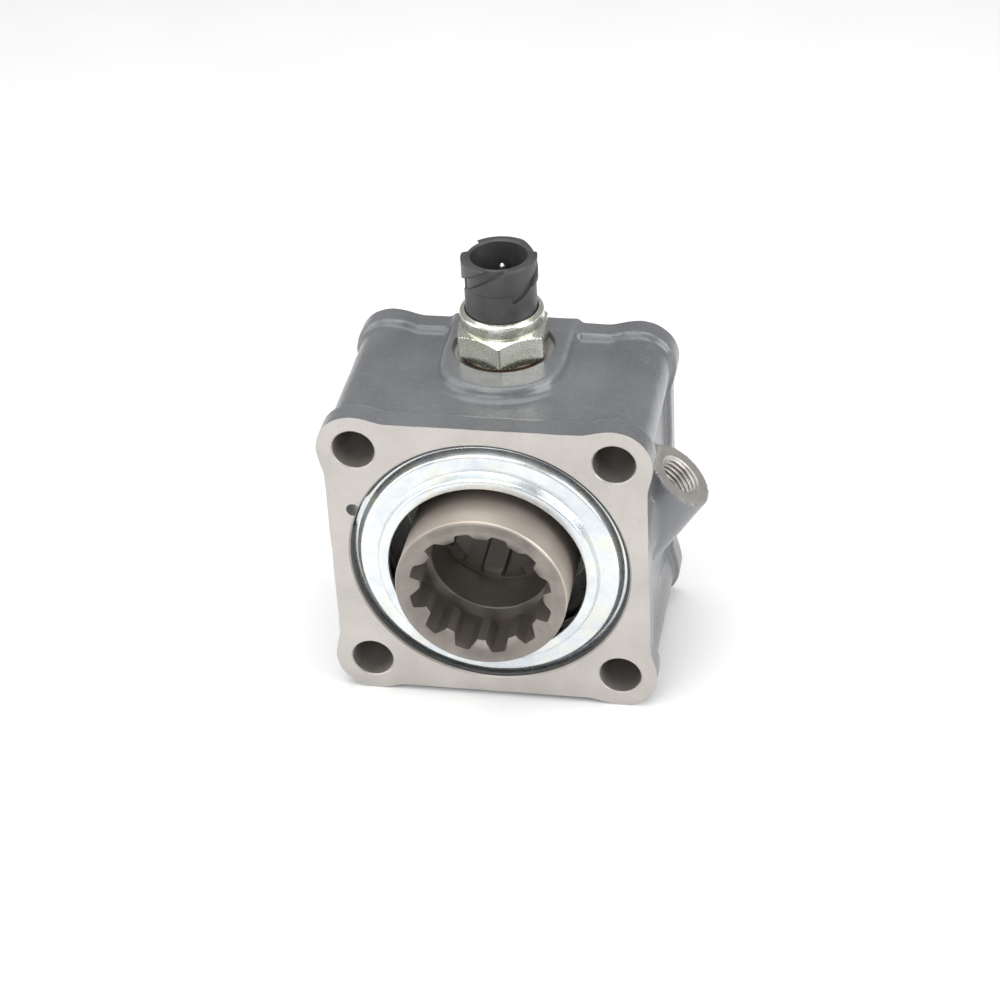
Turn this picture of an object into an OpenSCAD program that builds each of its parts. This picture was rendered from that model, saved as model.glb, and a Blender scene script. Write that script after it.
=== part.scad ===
// Pneumatic power take off unit that bolts between a gearbox and a gear pump.
// Origin on the shaft axis, in the plane of the gearbox face. The shaft runs
// along +Y, away from the gearbox, and +Z points up to the indicator switch.

/* [Flanges] */
// Radius of the clearance holes for the bolts
bolt_hole_r = 6.6; // [5:0.1:7]
// Distance from the bolt centres to the straight edges of the flanges
flange_edge = 10; // [9:0.1:10.5]
// Radius of the round ear at each flange corner
ear_r = 11.75; // [11:0.05:13]
// Thickness of the gearbox flange
front_t = 8.3; // [7:0.1:12]
// Thickness of the pump flange
rear_t = 7; // [6:0.1:10]
// Small fillet where an ear meets a straight edge
ear_fillet = 4; // [2:0.5:5]

/* [Body] */
// Step from the flange edges in to the flat sides of the body
waist_step = 2; // [1:0.1:3]
// Radius of the four bolt columns between the flanges
column_r = 10; // [9.5:0.1:10.5]
// Step of the bore radius behind the piston land
land_step = 4.5; // [4.2:0.1:4.8]
// Length of the air space behind the piston land
chamber_len = 3.4; // [2.5:0.1:4]
// Radius of the bore that guides the piston skirt, on which the other radii are built
skirt_bore_r = 39.5; // [38:0.1:41]
// Step of the radius from the skirt bore to the pump pilot
pilot_step = 0.5; // [0.4:0.1:1]
// Depth of the pump pilot bore
pilot_depth = 8; // [6:0.1:8.5]
// Chamfer at the mouths of the large bores
bore_chamfer = 0.5; // [0.3:0.1:1]

/* [Switch boss] */
// Half width of the raised boss that carries the switch
boss_half_w = 20; // [19:0.5:22]
// Height of the switch boss above the flat top of the body
boss_rise = 3.8; // [2.6:0.1:5]
// Radius of the rounded nose of the switch boss
nose_r = 22; // [21:0.5:24]
// Distance from the switch axis to the foremost point of the nose
nose_reach = 26.2; // [24:0.1:28]
// Edge chamfer round the top of the boss
boss_edge = 1.2; // [0.5:0.1:1.5]
// Radius of the spot face under the switch
spot_r = 16; // [15.8:0.1:17]
// Depth of the spot face
spot_depth = 2.4; // [1.6:0.1:3]

/* [Air port] */
// Distance from the rear of the piston land to the air port
port_back = 0.65; // [0.3:0.05:1.2]
// Lean of the port axis above horizontal, in degrees
port_angle = 48; // [44:1:52]
// Distance from the flat side of the body out to the centre of the port face
port_out = 9.4; // [8:0.1:12]
// Height of the centre of the port face
port_z = 23.4; // [22:0.2:26]
// Length of the port boss and of its air way, inwards from the port face
port_len = 26; // [24:0.5:28]
// Outer radius of the port boss at its face
port_boss_r = 11.6; // [11:0.1:12.5]
// Growth of the boss radius for each millimetre inwards
port_draft = 0.12; // [0.05:0.01:0.14]
// Radius of the threaded hole
port_r = 6.2; // [5.2:0.1:7]
// Depth of the threaded hole
port_depth = 12; // [9:0.5:14]
// Lead-in chamfer at the mouth of the threaded hole
port_lead = 0.8; // [0.4:0.1:1.2]
// Radius of the drilled air way to the bore
airway_r = 2; // [1.5:0.1:2.2]

/* [Piston] */
// Travel of the piston
stroke = 9; // [7:0.5:9.5]
// Gap that is left in front of the piston at full travel
end_gap = 0.5; // [0.4:0.1:1]
// Length of the wide front land
land_len = 7; // [6.6:0.1:7.6]
// Running clearance of the piston in its bores, on the radius
slide_gap = 0.05; // [0.03:0.01:0.08]
// Thickness of the web between the spring pocket and the bearing
web_t = 7; // [6:0.2:8]
// Height of the shoulder that the bearing rests on
shoulder_w = 2.5; // [2:0.1:3]
// Wall of the piston inside the spring pocket
pocket_wall = 3.4; // [3.1:0.1:3.6]
// Radial width of the spring pocket
pocket_w = 3.6; // [3.4:0.1:3.8]
// Section diameter of both piston seal rings
o_ring_d = 2.8; // [2.4:0.1:3]
// Distance from the skirt seal ring to the foot of the ramp
seal_land = 5.1; // [4.6:0.1:6]
// Length of the skirt behind the shaft seal
skirt_tail = 5.03; // [4.8:0.01:6]
// Land of the skirt behind the ramp
ramp_margin = 0.6; // [0.5:0.1:1.5]
// Rise of the ramp under the switch ball for each millimetre of travel
ramp_ratio = 0.15; // [0.1:0.01:0.16]
// Gap between the skirt end and the pump pilot
skirt_gap = 0.3; // [0.3:0.1:1]

/* [Bearing and seal] */
// Wall of the piston skirt outside the bearing
skirt_wall = 5.45; // [5.2:0.05:5.8]
// Section height of the bearing, from its bore to its outside
bearing_rise = 11.5; // [11:0.1:12]
// Width of the bearing
bearing_w = 12; // [11:0.5:13]
// Radius of a bearing ball
ball_r = 3.175; // [3:0.025:3.3]
// Number of balls
ball_count = 17; // [12:1:18]
// Thickness of a bearing shield
shield_t = 0.6; // [0.4:0.1:0.8]
// Thickness of the retaining ring in the piston
bore_ring_t = 2.5; // [2:0.1:2.5]
// Depth of the groove for that ring
bore_ring_depth = 1.4; // [1:0.1:1.6]
// Thickness of the retaining ring on the hub
hub_ring_t = 1.75; // [1.5:0.05:2]
// Depth of the groove for the ring on the hub
hub_ring_depth = 1.2; // [0.8:0.1:1.4]
// Width of the shaft seal
seal_w = 8; // [7:0.5:9]
// Distance from the retaining ring to the shaft seal
seal_set = 0.8; // [0.5:0.1:1.5]
// Gap between pieces that are pressed together
fit_gap = 0.02; // [0.01:0.01:0.05]

/* [Coupling hub] */
// Length that the hub stands out in front of the gearbox face
hub_reach = 16; // [12:0.5:20]
// Height of the hub shoulder outside the bearing bore
hub_step = 4.2; // [3.6:0.1:4.8]
// Width of the bevel round the front of the hub
hub_bevel = 2.7; // [1.5:0.1:3]
// Length of the cone from the front of the hub to its shoulder
shoulder_len = 2; // [1:0.1:3]
// Distance from the rear end of the hub to the end of the piston skirt
hub_back = 2.2; // [1:0.1:3]
// Number of spline spaces at the gearbox end
input_teeth = 12; // [10:1:12]
// Wall of the hub outside the spline at the gearbox end
hub_wall = 4.4; // [4:0.1:4.8]
// Depth of the spline spaces at the gearbox end
input_depth = 3.1; // [2.6:0.1:3.4]
// Width of a spline space at its root, at the gearbox end
input_root_w = 4.4; // [4:0.1:5]
// Width of a spline space at the tooth tips, at the gearbox end
input_tip_w = 7.4; // [6.8:0.1:7.8]
// Width of the flat ring at the mouth of the hub
mouth_land = 0.2; // [0.2:0.1:0.6]
// Depth of the lead-in cone at the tooth tips, at the gearbox end
input_lead = 2.3; // [1.5:0.1:3]
// Length of the spline at the gearbox end
input_len = 14.2; // [12:0.1:16]
// Length of the relief behind that spline
relief_len = 5.2; // [3:0.1:6]
// Step from the spline tips in to the plain bore between the two splines
bore_step = 0.2; // [0.1:0.1:0.5]
// Distance from the gearbox face to the start of the pump spline
pump_spline_y = 19; // [15:0.5:24]
// Wall of the hub between the pump spline and the bearing
tail_wall = 4.5; // [4:0.1:5]
// Depth of the pump spline slots
pump_depth = 2; // [1.6:0.1:2.2]
// Width of a pump spline slot
pump_slot_w = 6; // [5:0.1:6.2]

/* [Front cover] */
// Distance from the gearbox face to the wire ring that holds the cover
ring_y = 0.6; // [0.55:0.05:0.9]
// Radius of the wire of that ring
wire_r = 1; // [0.8:0.05:1]
// Thickness of the pressed cover sheet
cover_t = 1.7; // [1.4:0.1:1.9]
// Width of the rim between the bore and the raised face of the cover
rim_w = 3.5; // [3.2:0.1:3.6]
// Height of the raised face above the rim
cover_raise = 2.95; // [2.6:0.05:3.1]
// Width of the raised face of the cover
face_w = 5.9; // [5.6:0.1:6.1]
// Height of the lip round the opening above the raised face
lip_raise = 3.6; // [2.6:0.1:4]
// Width of the front of the lip
lip_w = 3.6; // [3.2:0.1:3.9]

/* [Return spring] */
// Diameter of its wire
spring_wire = 3; // [2.6:0.1:3]
// Number of turns
spring_turns = 2.4; // [2:0.1:2.4]

/* [Indicator switch] */
// Sideways place of the switch axis
switch_x = -1; // [-2:0.5:2]
// Width across the flats of the switch hexagon
hex_af = 27; // [26:0.5:28]
// Height of the hexagon
hex_h = 9.6; // [8:0.1:11]
// Distance from the top of the hexagon down to the closed end of the ball guide
guide_drop = 3.3; // [2.6:0.1:4]
// Turn of the hexagon about the switch axis, in degrees
hex_turn = 4.3; // [0:0.1:60]
// Radius of the switch thread
shank_r = 8.9; // [8.4:0.1:9.2]
// Thickness of the sealing washer
washer_t = 1.5; // [1:0.1:2]
// Radius of the rolled collar
collar_r = 13.2; // [13:0.1:13.4]
// Height of the rolled collar
collar_h = 5.5; // [4.5:0.1:7]
// Radius of the switch ball
tip_ball_r = 4; // [3.8:0.05:4.1]
// Clearance between the ball and the ramp
tip_gap = 0.2; // [0.15:0.05:0.3]
// Radius of the socket base
socket_base_r = 11.2; // [11:0.1:11.3]
// Outer radius of the socket tube
socket_r = 10.1; // [9.8:0.1:10.3]
// Outer radius of the bayonet band
bayonet_r = 11.85; // [11.4:0.05:12]
// Height of the bayonet band
band_h = 8.5; // [7:0.1:9.5]
// Width of the bayonet grooves
groove_w = 3.2; // [2.6:0.1:3.6]
// Slant of the bayonet grooves, in degrees
groove_slant = 32; // [26:1:36]
// Inner radius of the socket
socket_in_r = 8.8; // [8.4:0.1:9]
// Height of the socket above the collar
socket_h = 18; // [16:0.5:22]
// Height of the socket floor above the collar
socket_floor = 5; // [3:0.1:6]
// Distance from the socket rim down to the pin tips
pin_drop = 5.5; // [4:0.1:8]
// Radius of a contact pin
pin_r = 1.25; // [0.8:0.05:1.5]
// Distance between the two contact pins
pin_pitch = 9; // [6:0.5:10]

/* [Hidden] */
$fn = 96;
// Overlap of cutting shapes past the faces that they cut
over = 1;

// Radii, outwards from the skirt bore: pilot, bolt square and outline
pilot_r = skirt_bore_r + pilot_step;
bolt_xz = pilot_r;
flange_half = bolt_xz + flange_edge;
waist_half = flange_half - waist_step;
boss_top = waist_half + boss_rise;
port_x = waist_half + port_out;
front_bore_r = skirt_bore_r + land_step;
ring_groove_r = front_bore_r + wire_r;
wire_mid_r = front_bore_r;
notch_r = 2.2 * wire_r;
notch_mid_r = ring_groove_r + 0.35;
notch_angle = 157;

// Radii, inwards from the skirt bore: piston, bearing and hub
land_r = front_bore_r - slide_gap;
skirt_r = skirt_bore_r - slide_gap;
bearing_out_r = skirt_r - skirt_wall;
bearing_in_r = bearing_out_r - bearing_rise;
throat_r = bearing_out_r - shoulder_w;
pocket_in_r = throat_r + pocket_wall;
pocket_out_r = pocket_in_r + pocket_w;
spring_r = pocket_in_r + pocket_w / 2;
bore_ring_r = bearing_out_r + bore_ring_depth;
hub_ring_r = bearing_in_r - hub_ring_depth;
hub_r = bearing_in_r + hub_step;
input_root_r = hub_r - hub_wall;
input_tip_r = input_root_r - input_depth;
mid_bore_r = input_tip_r - bore_step;
pump_root_r = bearing_in_r - tail_wall;
pump_tip_r = pump_root_r - pump_depth;

// Radii of the cover, inwards from the front bore
rim_r = front_bore_r - 0.3;
cover_face_r = front_bore_r - rim_w;
cover_lip_r = cover_face_r - face_w;
cover_hole_r = cover_lip_r - lip_w;

// Places of the cover along the shaft axis
ring_mid_y = ring_y + wire_r;
rim_y = ring_y + 2 * wire_r + slide_gap;
rim_back_y = rim_y + cover_t;
face_y = rim_y - cover_raise;
lip_y = face_y - lip_raise;

// Places of the piston and of what it carries, from the cover backwards
piston_y = rim_back_y + stroke + end_gap;
land_y = piston_y + land_len;
step_y = land_y + chamber_len;
port_y = land_y + port_back;
bearing_y = land_y + web_t;
bearing_back_y = bearing_y + bearing_w;
bore_ring_y = bearing_back_y + fit_gap;
seal_y = bore_ring_y + bore_ring_t + seal_set;
skirt_end_y = seal_y + seal_w + skirt_tail;
hub_end = skirt_end_y - hub_back;
body_depth = skirt_end_y + skirt_gap + pilot_depth;
land_seal_y = piston_y + land_len * 0.46;
seal_groove_w = o_ring_d + 0.5;
seal_cord_r = o_ring_d / 2;

// Ramp under the switch ball, as a straight cone on the skirt
ramp_angle = atan(ramp_ratio);
ramp_top_y = skirt_end_y - ramp_margin;
switch_y = ramp_top_y - stroke - tip_ball_r * sin(ramp_angle);
ramp_foot_y = switch_y - tip_ball_r + 1;
skirt_seal_y = ramp_foot_y - seal_land;
nose_y = switch_y - nose_reach;
function ramp_r(y) = skirt_r - ramp_ratio * (ramp_top_y - y);
tip_z = ramp_r(switch_y) + (tip_ball_r + tip_gap) / cos(ramp_angle);

// Bearing
pitch_r = (bearing_in_r + bearing_out_r) / 2;
race_gap = 0.06;
race_r = ball_r + race_gap;
bearing_mid_y = bearing_y + bearing_w / 2;
inner_land_r = pitch_r - ball_r * 0.72;
outer_land_r = pitch_r + ball_r * 0.72;
cage_half_t = ball_r * 0.34;
cage_half_w = ball_r + 1;
hub_seat_r = bearing_in_r - fit_gap;

// Switch, along its own axis
spot_z = boss_top - spot_depth;
hex_z = spot_z + washer_t;
collar_z = hex_z + hex_h;
socket_z = collar_z + collar_h;
socket_top_z = socket_z + socket_h;
socket_floor_z = socket_z + socket_floor;
band_z = socket_top_z - band_h;
nose_shank_r = tip_ball_r + 1.8;
shank_end_z = skirt_bore_r + 1.4;
shank_step_z = skirt_bore_r + 3.6;
guide_r = tip_ball_r + 0.1;
plunger_z = tip_z + tip_ball_r + fit_gap;
plunger_head_z = plunger_z + 3.5;
guide_top_z = collar_z - guide_drop;
pin_foot_z = guide_top_z + 1.4;
groove_drop = 4.1;

// Turns a shape from the Z axis on to the shaft axis, from height 0 at y
module on_shaft(y = 0) {
    translate([0, y, 0])
        rotate([-90, 0, 0])
            children();
}

// Revolves a profile of radius and distance along the shaft
module turned(points) {
    on_shaft()
        rotate_extrude()
            polygon(points);
}

// Extrudes an outline in X and Z over a stretch of the shaft axis
module slab(y, t) {
    translate([0, y + t, 0])
        rotate([90, 0, 0])
            linear_extrude(t)
                children();
}

// Puts a shape on the port axis, with +Z out of the port and 0 at its face
module on_port() {
    translate([port_x, port_y, port_z])
        rotate([0, 90 - port_angle, 0])
            children();
}

// Puts a shape on the vertical switch axis
module on_switch(z = 0) {
    translate([switch_x, switch_y, z])
        children();
}

// Copies a shape to the four corners of the bolt pattern
module at_bolts() {
    for (sx = [-1, 1])
        for (sz = [-1, 1])
            translate([sx * bolt_xz, sz * bolt_xz])
                children();
}

// Points of an arc about a centre, from one angle to another in even steps
function arc_points(centre, r, from, to, steps) = [
    for (i = [0:steps])
        let (a = from + (to - from) * i / steps)
        [centre[0] + r * cos(a), centre[1] + r * sin(a)]
];

// Small concave fillets where an ear of radius r runs into straight edges
module ear_fillets(half, r) {
    lift = half + ear_fillet - bolt_xz;
    run = sqrt(pow(r + ear_fillet, 2) - pow(lift, 2));
    centre = [bolt_xz - run, half + ear_fillet];
    end_angle = -atan2(lift, run);
    root = [bolt_xz - run * 0.6, bolt_xz + lift * 0.6];
    for (mx = [0, 1])
        for (mz = [0, 1])
            for (flip = [0, 1])
                mirror([mx, 0])
                    mirror([0, mz])
                        mirror([flip, -flip])
                            polygon(concat(
                                [[bolt_xz, half - over], [bolt_xz - run, half - over]],
                                arc_points(centre, ear_fillet, -90, end_angle, 4),
                                [root]
                            ));
}

// Square outline with round corners that stand proud round the bolt holes
module corner_outline(half, r) {
    square([2 * half, 2 * bolt_xz], center = true);
    square([2 * bolt_xz, 2 * half], center = true);
    at_bolts()
        circle(r);
    ear_fillets(half, r);
}

// D-shaped plan of the switch boss, with its round nose towards the gearbox
module boss_plan(inset = 0) {
    half = boss_half_w - inset;
    nose_mid_y = nose_y + nose_r;
    intersection() {
        translate([0, nose_mid_y])
            circle(nose_r - inset);
        translate([-half, 0])
            square([2 * half, nose_mid_y + 5]);
    }
    translate([-half, nose_mid_y])
        square([2 * half, body_depth - nose_mid_y]);
}

// Outside of the casting, before any machining
module casting() {
    slab(0, front_t)
        corner_outline(flange_half, ear_r);
    slab(body_depth - rear_t, rear_t)
        corner_outline(flange_half, ear_r);
    slab(front_t - over, body_depth - front_t - rear_t + 2 * over)
        corner_outline(waist_half, column_r);
    translate([0, 0, waist_half - over])
        linear_extrude(boss_top - boss_edge - waist_half + over)
            boss_plan();
    for (step = [0:2])
        translate([0, 0, boss_top - boss_edge])
            linear_extrude(boss_edge * sin(30 * (step + 1)))
                boss_plan(boss_edge * (1 - cos(30 * step)));
    on_port()
        translate([0, 0, -port_len])
            cylinder(h = port_len, r1 = port_boss_r + port_len * port_draft, r2 = port_boss_r);
    waist_fillets();
}

// Concave fillet section in the corner of a step
module fillet_section(r) {
    polygon(concat([[-over, -over], [r, -over]], arc_points([r, r], r, -90, -180, 5), [[-over, r]]));
}

// Fillets between the waist and the two flanges
module waist_fillets() {
    r = waist_step - 0.3;
    length = 2 * (bolt_xz - ear_r);
    for (end = [0, 1])
        translate([0, end * body_depth, 0])
            mirror([0, end, 0])
                translate([0, end == 0 ? front_t : rear_t, 0])
                    for (turn = [0:3])
                        rotate([0, 90 * turn, 0])
                            translate([-length / 2, 0, waist_half])
                                rotate([90, 0, 90])
                                    linear_extrude(length)
                                        fillet_section(r);
}

// Everything that is drilled, bored and faced in the casting
module machining() {
    turned([
        [0, -over],
        [front_bore_r + bore_chamfer + over, -over],
        [front_bore_r, bore_chamfer],
        [front_bore_r, ring_mid_y - wire_r],
        [ring_groove_r + slide_gap, ring_mid_y - wire_r],
        [ring_groove_r + slide_gap, rim_y],
        [front_bore_r, rim_y],
        [front_bore_r, step_y],
        [skirt_bore_r, step_y],
        [skirt_bore_r, body_depth - pilot_depth],
        [pilot_r, body_depth - pilot_depth],
        [pilot_r, body_depth - bore_chamfer],
        [pilot_r + bore_chamfer + over, body_depth + over],
        [0, body_depth + over]
    ]);
    slab(-over, body_depth + 2 * over)
        at_bolts()
            circle(bolt_hole_r);
    pry_notch();
    on_port() {
        translate([0, 0, -port_depth])
            cylinder(h = port_depth + over, r = port_r);
        translate([0, 0, -port_lead])
            cylinder(h = port_lead + over, r1 = port_r, r2 = port_r + port_lead + over);
        translate([0, 0, -port_depth - port_r / 2])
            cylinder(h = port_r / 2, r1 = airway_r, r2 = port_r);
        translate([0, 0, -port_len])
            cylinder(h = port_len, r = airway_r);
    }
    on_switch(spot_z)
        cylinder(h = boss_rise + over, r = spot_r);
    on_switch(shank_step_z - 0.2)
        cylinder(h = spot_z - shank_step_z + over, r = shank_r + slide_gap);
    on_switch(skirt_r - over)
        cylinder(h = shank_step_z - skirt_r + over, r = nose_shank_r + 0.1);
}

// Drilled notch in the bore edge, where the wire ring is lifted out
module pry_notch() {
    rotate([0, -notch_angle, 0])
        translate([notch_mid_r, 0, 0])
            on_shaft(-over)
                cylinder(h = over + ring_mid_y + wire_r, r = notch_r);
}

module housing() {
    color([0.30, 0.33, 0.36])
        difference() {
            casting();
            machining();
        }
}

module front_cover() {
    wall = cover_t * 1.06;
    round_edge = 0.5;
    color([0.86, 0.88, 0.90])
        turned([
            [rim_r, rim_y],
            [cover_face_r + 0.85, rim_y],
            [cover_face_r, face_y + round_edge],
            [cover_face_r - round_edge, face_y],
            [cover_lip_r + round_edge, face_y],
            [cover_lip_r, face_y - round_edge],
            [cover_lip_r - 0.3, lip_y + round_edge],
            [cover_lip_r - 0.3 - round_edge, lip_y],
            [cover_hole_r, lip_y],
            [cover_hole_r, lip_y + cover_t],
            [cover_lip_r - 0.3 - wall, lip_y + cover_t],
            [cover_lip_r - wall, face_y + cover_t],
            [cover_face_r - wall, face_y + cover_t],
            [cover_face_r + 0.85 - wall, rim_back_y],
            [rim_r, rim_back_y]
        ]);
}

module cover_wire_ring() {
    color([0.20, 0.21, 0.21])
        on_shaft(ring_mid_y)
            rotate(-150)
                rotate_extrude(angle = 345)
                    translate([wire_mid_r, 0])
                        circle(wire_r - 0.02);
}

// Height of a compression spring along its turns, with closed end turns
function spring_rise(t, turns, wire, height) =
    let (shut = wire * 1.02,
         middle = height - wire - 1.5 * shut,
         a = min(t, 0.75),
         b = max(0, min(t - 0.75, turns - 1.5)),
         c = max(0, t - turns + 0.75))
    wire / 2 + shut * (a + c) + middle * b / (turns - 1.5);

// One closed mesh for a round wire along a helix that starts at height 0
module helix_wire(r, wire, turns, height, sides, steps) {
    count = ceil(turns * steps);
    points = [
        for (i = [0:count])
            for (k = [0:sides - 1])
                let (t = turns * i / count,
                     a = 360 * t,
                     b = 360 * (k + 0.5) / sides,
                     rr = r + wire / 2 * cos(b))
                [rr * cos(a), rr * sin(a), spring_rise(t, turns, wire, height) + wire / 2 * sin(b)]
    ];
    skin = [
        for (i = [0:count - 1])
            for (k = [0:sides - 1])
                let (n = (k + 1) % sides)
                [i * sides + k, (i + 1) * sides + k, (i + 1) * sides + n, i * sides + n]
    ];
    first = [for (k = [0:sides - 1]) k];
    last = [for (k = [sides - 1:-1:0]) count * sides + k];
    polyhedron(points, concat([first], skin, [last]), convexity = 10);
}

module return_spring() {
    start = face_y + cover_t + slide_gap;
    color([0.45, 0.46, 0.48])
        on_shaft(start)
            helix_wire(spring_r, spring_wire, spring_turns, land_y - slide_gap - start, 8, 22);
}

module piston() {
    color([0.72, 0.73, 0.74])
        turned([
            [throat_r, piston_y],
            [pocket_in_r, piston_y],
            [pocket_in_r, land_y],
            [pocket_out_r, land_y],
            [pocket_out_r, piston_y],
            [land_r - 0.6, piston_y],
            [land_r, piston_y + 0.6],
            [land_r, land_seal_y - seal_groove_w / 2],
            [land_r - o_ring_d, land_seal_y - seal_groove_w / 2],
            [land_r - o_ring_d, land_seal_y + seal_groove_w / 2],
            [land_r, land_seal_y + seal_groove_w / 2],
            [land_r, land_y - 1],
            [land_r - 1, land_y],
            [skirt_r, land_y],
            [skirt_r, skirt_seal_y - seal_groove_w / 2],
            [skirt_r - o_ring_d, skirt_seal_y - seal_groove_w / 2],
            [skirt_r - o_ring_d, skirt_seal_y + seal_groove_w / 2],
            [skirt_r, skirt_seal_y + seal_groove_w / 2],
            [skirt_r, ramp_foot_y - 0.8],
            [ramp_r(ramp_foot_y), ramp_foot_y],
            [skirt_r, ramp_top_y],
            [skirt_r, skirt_end_y - 0.3],
            [skirt_r - 0.3, skirt_end_y],
            [bearing_out_r + 0.8, skirt_end_y],
            [bearing_out_r, skirt_end_y - 0.8],
            [bearing_out_r, bore_ring_y + bore_ring_t + fit_gap],
            [bore_ring_r + fit_gap, bore_ring_y + bore_ring_t + fit_gap],
            [bore_ring_r + fit_gap, bearing_back_y],
            [bearing_out_r, bearing_back_y],
            [bearing_out_r, bearing_y],
            [throat_r, bearing_y]
        ]);
}

// Seal ring of round section that fills its groove up to the bore
module seal_ring(bore, y) {
    color([0.08, 0.08, 0.08])
        on_shaft(y)
            rotate_extrude()
                translate([bore - slide_gap - seal_cord_r, 0])
                    circle(seal_cord_r - fit_gap);
}

module land_seal_ring() {
    seal_ring(front_bore_r, land_seal_y);
}

module skirt_seal_ring() {
    seal_ring(skirt_bore_r, skirt_seal_y);
}

// Spline space for the gearbox shaft, tapered towards its root
module input_space() {
    slope = (input_tip_w - input_root_w) / 2 / input_depth;
    root_half = input_root_w / 2;
    inner_half = root_half + slope * input_root_r;
    outer_half = root_half - slope * over;
    polygon([
        [0, -inner_half],
        [input_root_r + over, -outer_half],
        [input_root_r + over, outer_half],
        [0, inner_half]
    ]);
}

module input_bore() {
    circle(input_tip_r);
    intersection() {
        circle(input_root_r);
        for (k = [0:input_teeth - 1])
            rotate(12 + k * 360 / input_teeth)
                input_space();
    }
}

module pump_bore() {
    circle(pump_tip_r);
    intersection() {
        circle(pump_root_r);
        for (k = [0:7])
            rotate(12 + 45 * k)
                translate([0, -pump_slot_w / 2])
                    square([pump_root_r + over, pump_slot_w]);
    }
}

module coupling_hub() {
    front = -hub_reach;
    lead_r = hub_r - hub_bevel - mouth_land;
    relief_y = front + input_len;
    plain_y = relief_y + relief_len;
    color([0.52, 0.50, 0.48])
        difference() {
            turned([
                [0, front],
                [hub_r - hub_bevel, front],
                [hub_r - 0.6, front + 0.7],
                [hub_r, front + 1.5],
                [hub_r, bearing_y - shoulder_len],
                [bearing_in_r + hub_step * 2 / 3, bearing_y],
                [hub_seat_r, bearing_y],
                [hub_seat_r, bearing_back_y],
                [hub_ring_r, bearing_back_y],
                [hub_ring_r, bearing_back_y + hub_ring_t + 2 * fit_gap],
                [hub_seat_r, bearing_back_y + hub_ring_t + 2 * fit_gap],
                [hub_seat_r, hub_end - 1],
                [hub_seat_r - 1, hub_end],
                [0, hub_end]
            ]);
            slab(front - over, input_len + 2 * over)
                input_bore();
            turned([
                [0, front - over],
                [lead_r, front - over],
                [lead_r, front],
                [input_tip_r, front + input_lead],
                [0, front + input_lead]
            ]);
            turned([
                [0, relief_y],
                [input_root_r + 0.3, relief_y],
                [input_root_r + 0.3, plain_y - 1],
                [mid_bore_r, plain_y],
                [mid_bore_r, pump_spline_y],
                [pump_tip_r, pump_spline_y + 1.5],
                [0, pump_spline_y + 1.5]
            ]);
            slab(pump_spline_y, hub_end - pump_spline_y + over)
                pump_bore();
            turned([
                [0, hub_end - 1.2],
                [pump_tip_r, hub_end - 1.2],
                [pump_tip_r + 1.2 + over, hub_end + over],
                [0, hub_end + over]
            ]);
        }
}

// Spring steel ring with two drilled lugs, with its gap on the far side
module retaining_ring(r_in, r_out, t, lug_r, gap) {
    lug_angle = gap / 2 + 4;
    linear_extrude(t)
        difference() {
            union() {
                difference() {
                    circle(r_out);
                    circle(r_in);
                    rotate(-gap / 2)
                        polygon([[0, 0], [2 * r_out, 0], [2 * r_out, 2 * r_out * tan(gap)]]);
                }
                for (side = [-1, 1])
                    rotate(side * lug_angle)
                        translate([lug_r, 0])
                            circle(2.2);
            }
            for (side = [-1, 1])
                rotate(side * lug_angle)
                    translate([lug_r, 0])
                        circle(1.1);
        }
}

module bearing_retaining_ring() {
    color([0.25, 0.25, 0.26])
        on_shaft(bore_ring_y)
            retaining_ring(bearing_out_r - 2.6, bore_ring_r, bore_ring_t, bearing_out_r - 3.4, 20);
}

module hub_retaining_ring() {
    color([0.25, 0.25, 0.26])
        on_shaft(bearing_back_y + fit_gap)
            retaining_ring(hub_ring_r + fit_gap, bearing_in_r + 2, hub_ring_t, bearing_in_r + 2.4, 24);
}

module race_groove() {
    on_shaft(bearing_mid_y)
        rotate_extrude()
            translate([pitch_r, 0])
                circle(race_r);
}

module bearing_inner_ring() {
    edge = 0.5;
    color([0.70, 0.71, 0.73])
        difference() {
            turned([
                [bearing_in_r, bearing_y + edge],
                [bearing_in_r + edge, bearing_y],
                [inner_land_r, bearing_y],
                [inner_land_r, bearing_back_y],
                [bearing_in_r + edge, bearing_back_y],
                [bearing_in_r, bearing_back_y - edge]
            ]);
            race_groove();
        }
}

module bearing_outer_ring() {
    edge = 0.5;
    seat_r = bearing_out_r - fit_gap;
    seat_w = shield_t + 0.3;
    color([0.70, 0.71, 0.73])
        difference() {
            turned([
                [outer_land_r + 0.8, bearing_y],
                [seat_r - edge, bearing_y],
                [seat_r, bearing_y + edge],
                [seat_r, bearing_back_y - edge],
                [seat_r - edge, bearing_back_y],
                [outer_land_r + 0.8, bearing_back_y],
                [outer_land_r + 0.8, bearing_back_y - seat_w],
                [outer_land_r, bearing_back_y - seat_w],
                [outer_land_r, bearing_y + seat_w],
                [outer_land_r + 0.8, bearing_y + seat_w]
            ]);
            race_groove();
        }
}

// Thin shield that is clipped in the outer ring and clears the inner one
module shield(y) {
    color([0.16, 0.15, 0.15])
        turned([
            [inner_land_r + 0.3, y],
            [outer_land_r + 0.8 - fit_gap, y],
            [outer_land_r + 0.8 - fit_gap, y + shield_t],
            [inner_land_r + 0.3, y + shield_t]
        ]);
}

module bearing_front_shield() {
    shield(bearing_y + 0.25);
}

module bearing_rear_shield() {
    shield(bearing_back_y - 0.25 - shield_t);
}

// Copies a shape to each ball centre
module at_balls() {
    for (k = [0:ball_count - 1])
        rotate([0, k * 360 / ball_count, 0])
            translate([0, bearing_mid_y, pitch_r])
                children();
}

module bearing_balls() {
    color([0.78, 0.79, 0.81])
        at_balls()
            sphere(ball_r);
}

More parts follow.
